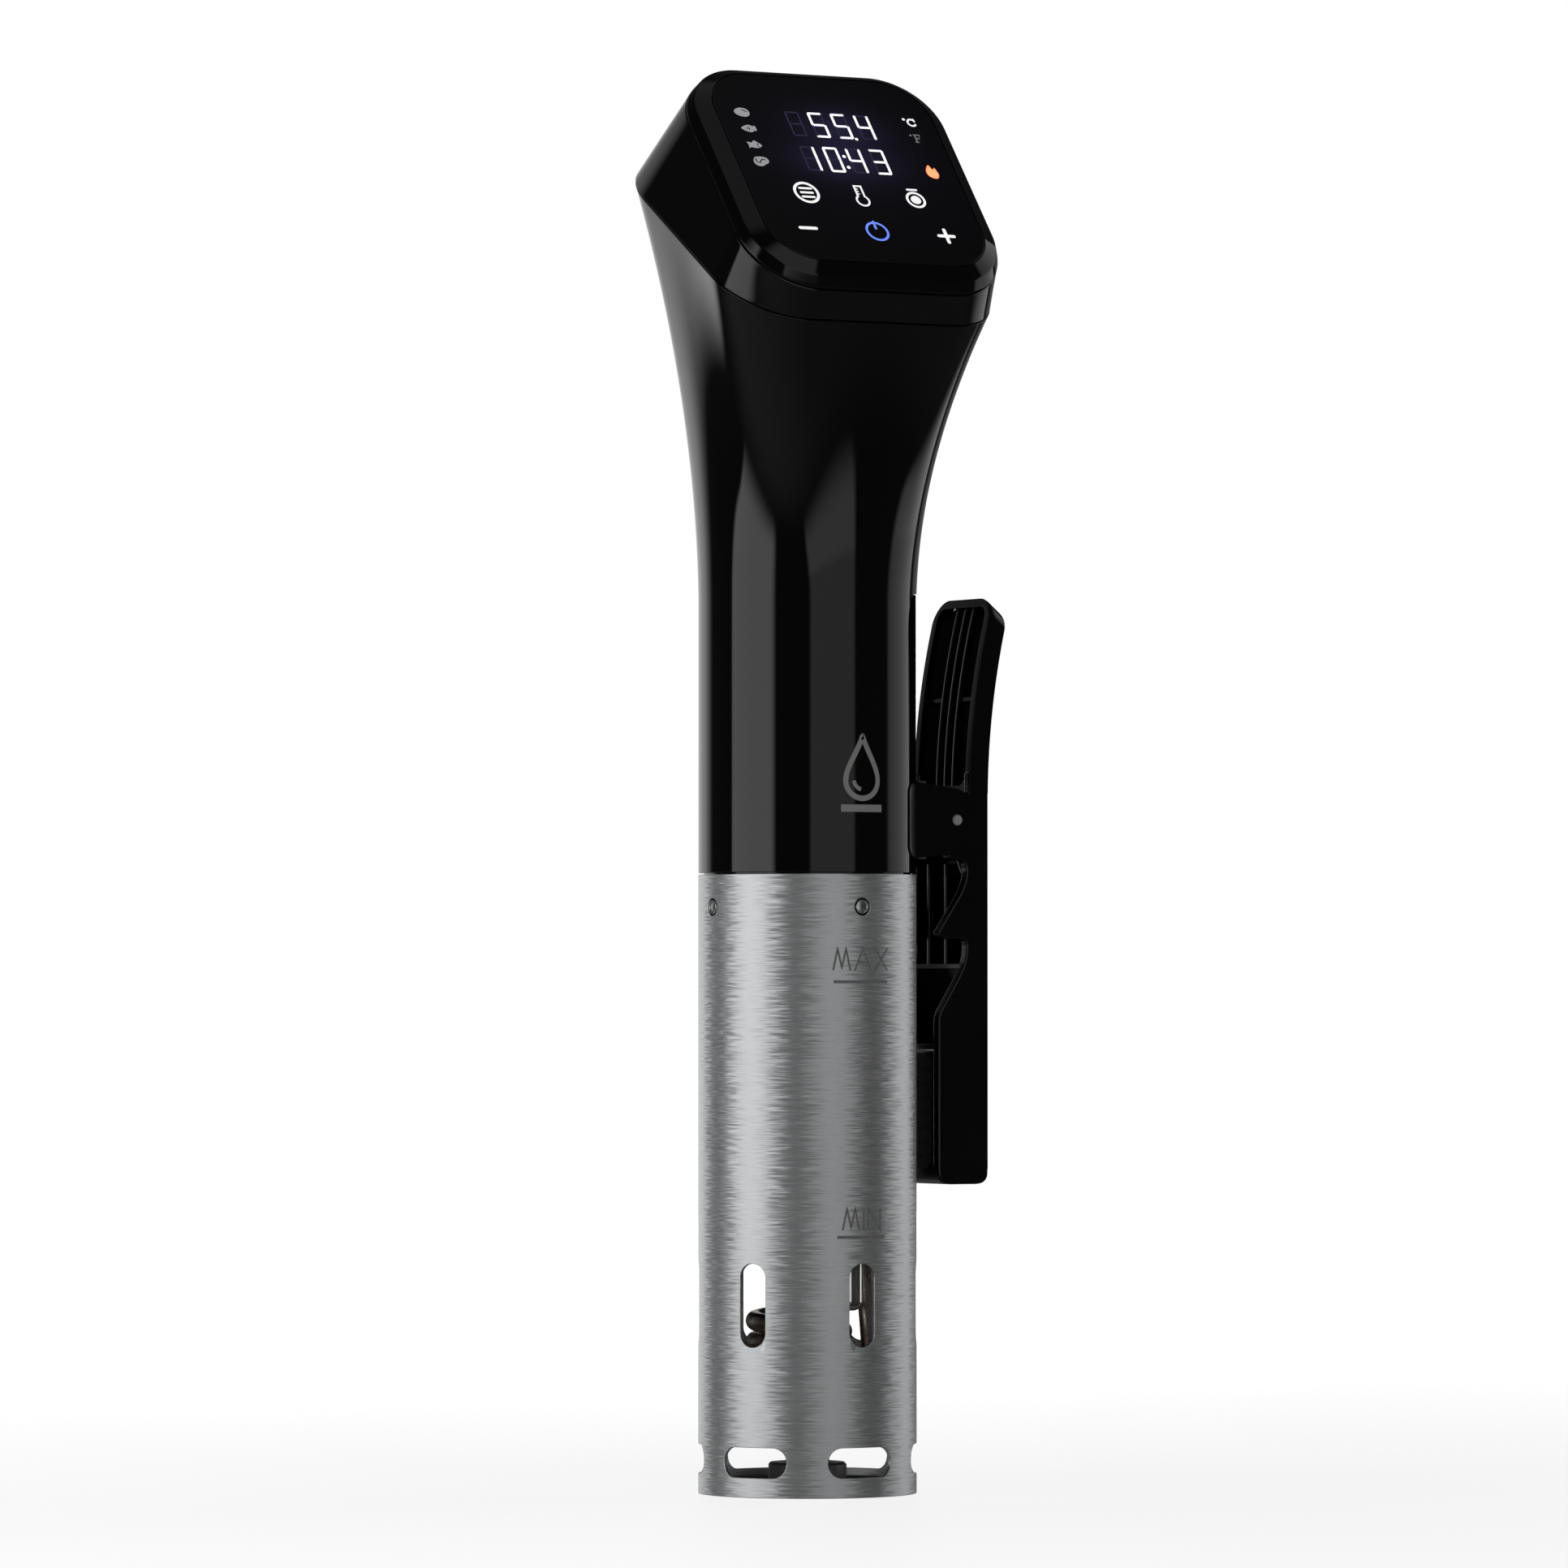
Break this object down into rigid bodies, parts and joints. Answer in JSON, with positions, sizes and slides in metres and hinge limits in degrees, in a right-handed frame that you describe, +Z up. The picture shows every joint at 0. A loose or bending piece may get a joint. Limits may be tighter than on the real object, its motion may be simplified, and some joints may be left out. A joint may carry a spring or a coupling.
{
  "type": "sous vide circulator",
  "caption": "Immersion circulator with a slotted steel skirt, flared black neck, sloping touch display head and a sprung side clamp for hanging it on a pot.",
  "frame": {"origin": "on the tube axis in the plane of the bottom rim, at the middle of the flat foot of the base cap", "axes": "+Z up along the tube axis, -Y towards the display side, +X towards the clamp"},
  "size_m": [0.0996, 0.0826, 0.3906],
  "materials": {
    "steel": "brushed round the tube, satin",
    "gloss_black": "high gloss",
    "satin_black": "satin moulded",
    "rubber": "matte",
    "screen_glass": "polished cover panel, dark tinted, with lit marks under it",
    "white_plastic": "moulded",
    "circuit_board": "solder mask",
    "brass": "machined",
    "heater_metal": "heat-tinted steel",
    "aluminium": "extruded, satin"
  },
  "bodies": {
    "housing": {"base_cap": "satin_black", "bezel": "gloss_black", "body_shell": "gloss_black", "bracket_screw_lower": "steel", "bracket_screw_upper": "steel", "buzzer": "satin_black", "clamp_bracket": "satin_black", "clamp_pin": "steel", "clamp_track_pad": "satin_black", "cord_gland": "rubber", "display_board": "circuit_board", "filter_capacitor": "satin_black", "glass_panel": "screen_glass", "head_shell": "gloss_black", "heater_coil": "heater_metal", "heater_nut_a": "brass", "heater_nut_b": "brass", "inner_chassis": "white_plastic", "led_module": "white_plastic", "level_rod_high": "steel", "level_rod_low": "steel", "lower_bushing": "brass", "main_board": "circuit_board", "motor_can": "steel", "motor_magnets": "satin_black", "motor_mount": "rubber", "plate_gasket": "rubber", "plate_screw_1": "steel", "plate_screw_2": "steel", "plate_screw_3": "steel", "power_triac": "satin_black", "relay": "white_plastic", "seal_plate": "satin_black", "shaft_bushing": "brass", "shaft_seal": "rubber", "skirt_screw_back": "steel", "skirt_screw_front": "steel", "skirt_screw_left": "steel", "skirt_screw_right": "steel", "skirt_tube": "steel", "temperature_probe": "steel", "transformer": "white_plastic", "triac_heatsink": "aluminium"},
    "rotor": {"drive_shaft": "steel", "motor_rotor": "heater_metal", "shaft_coupler": "brass", "impeller": "satin_black", "cooling_fan": "satin_black"},
    "clamp_lever_body": {"clamp_lever": "satin_black", "jaw_pad": "rubber", "clamp_spring": "steel"}
  },
  "joints": [
    {"name": "rotor_spin", "type": "hinge", "parent": "housing", "child": "rotor", "pos_m": [0, 0, 0.2], "axis": [0, 0, 1], "continuous": true},
    {"name": "clamp_open", "type": "hinge", "parent": "housing", "child": "clamp_lever_body", "pos_m": [0.0371, 0, 0.1847], "axis": [0, -1, 0], "range_deg": [0, 14], "stiffness_Nm_per_rad": 0.6, "springref_deg": -28.65}
  ]
}
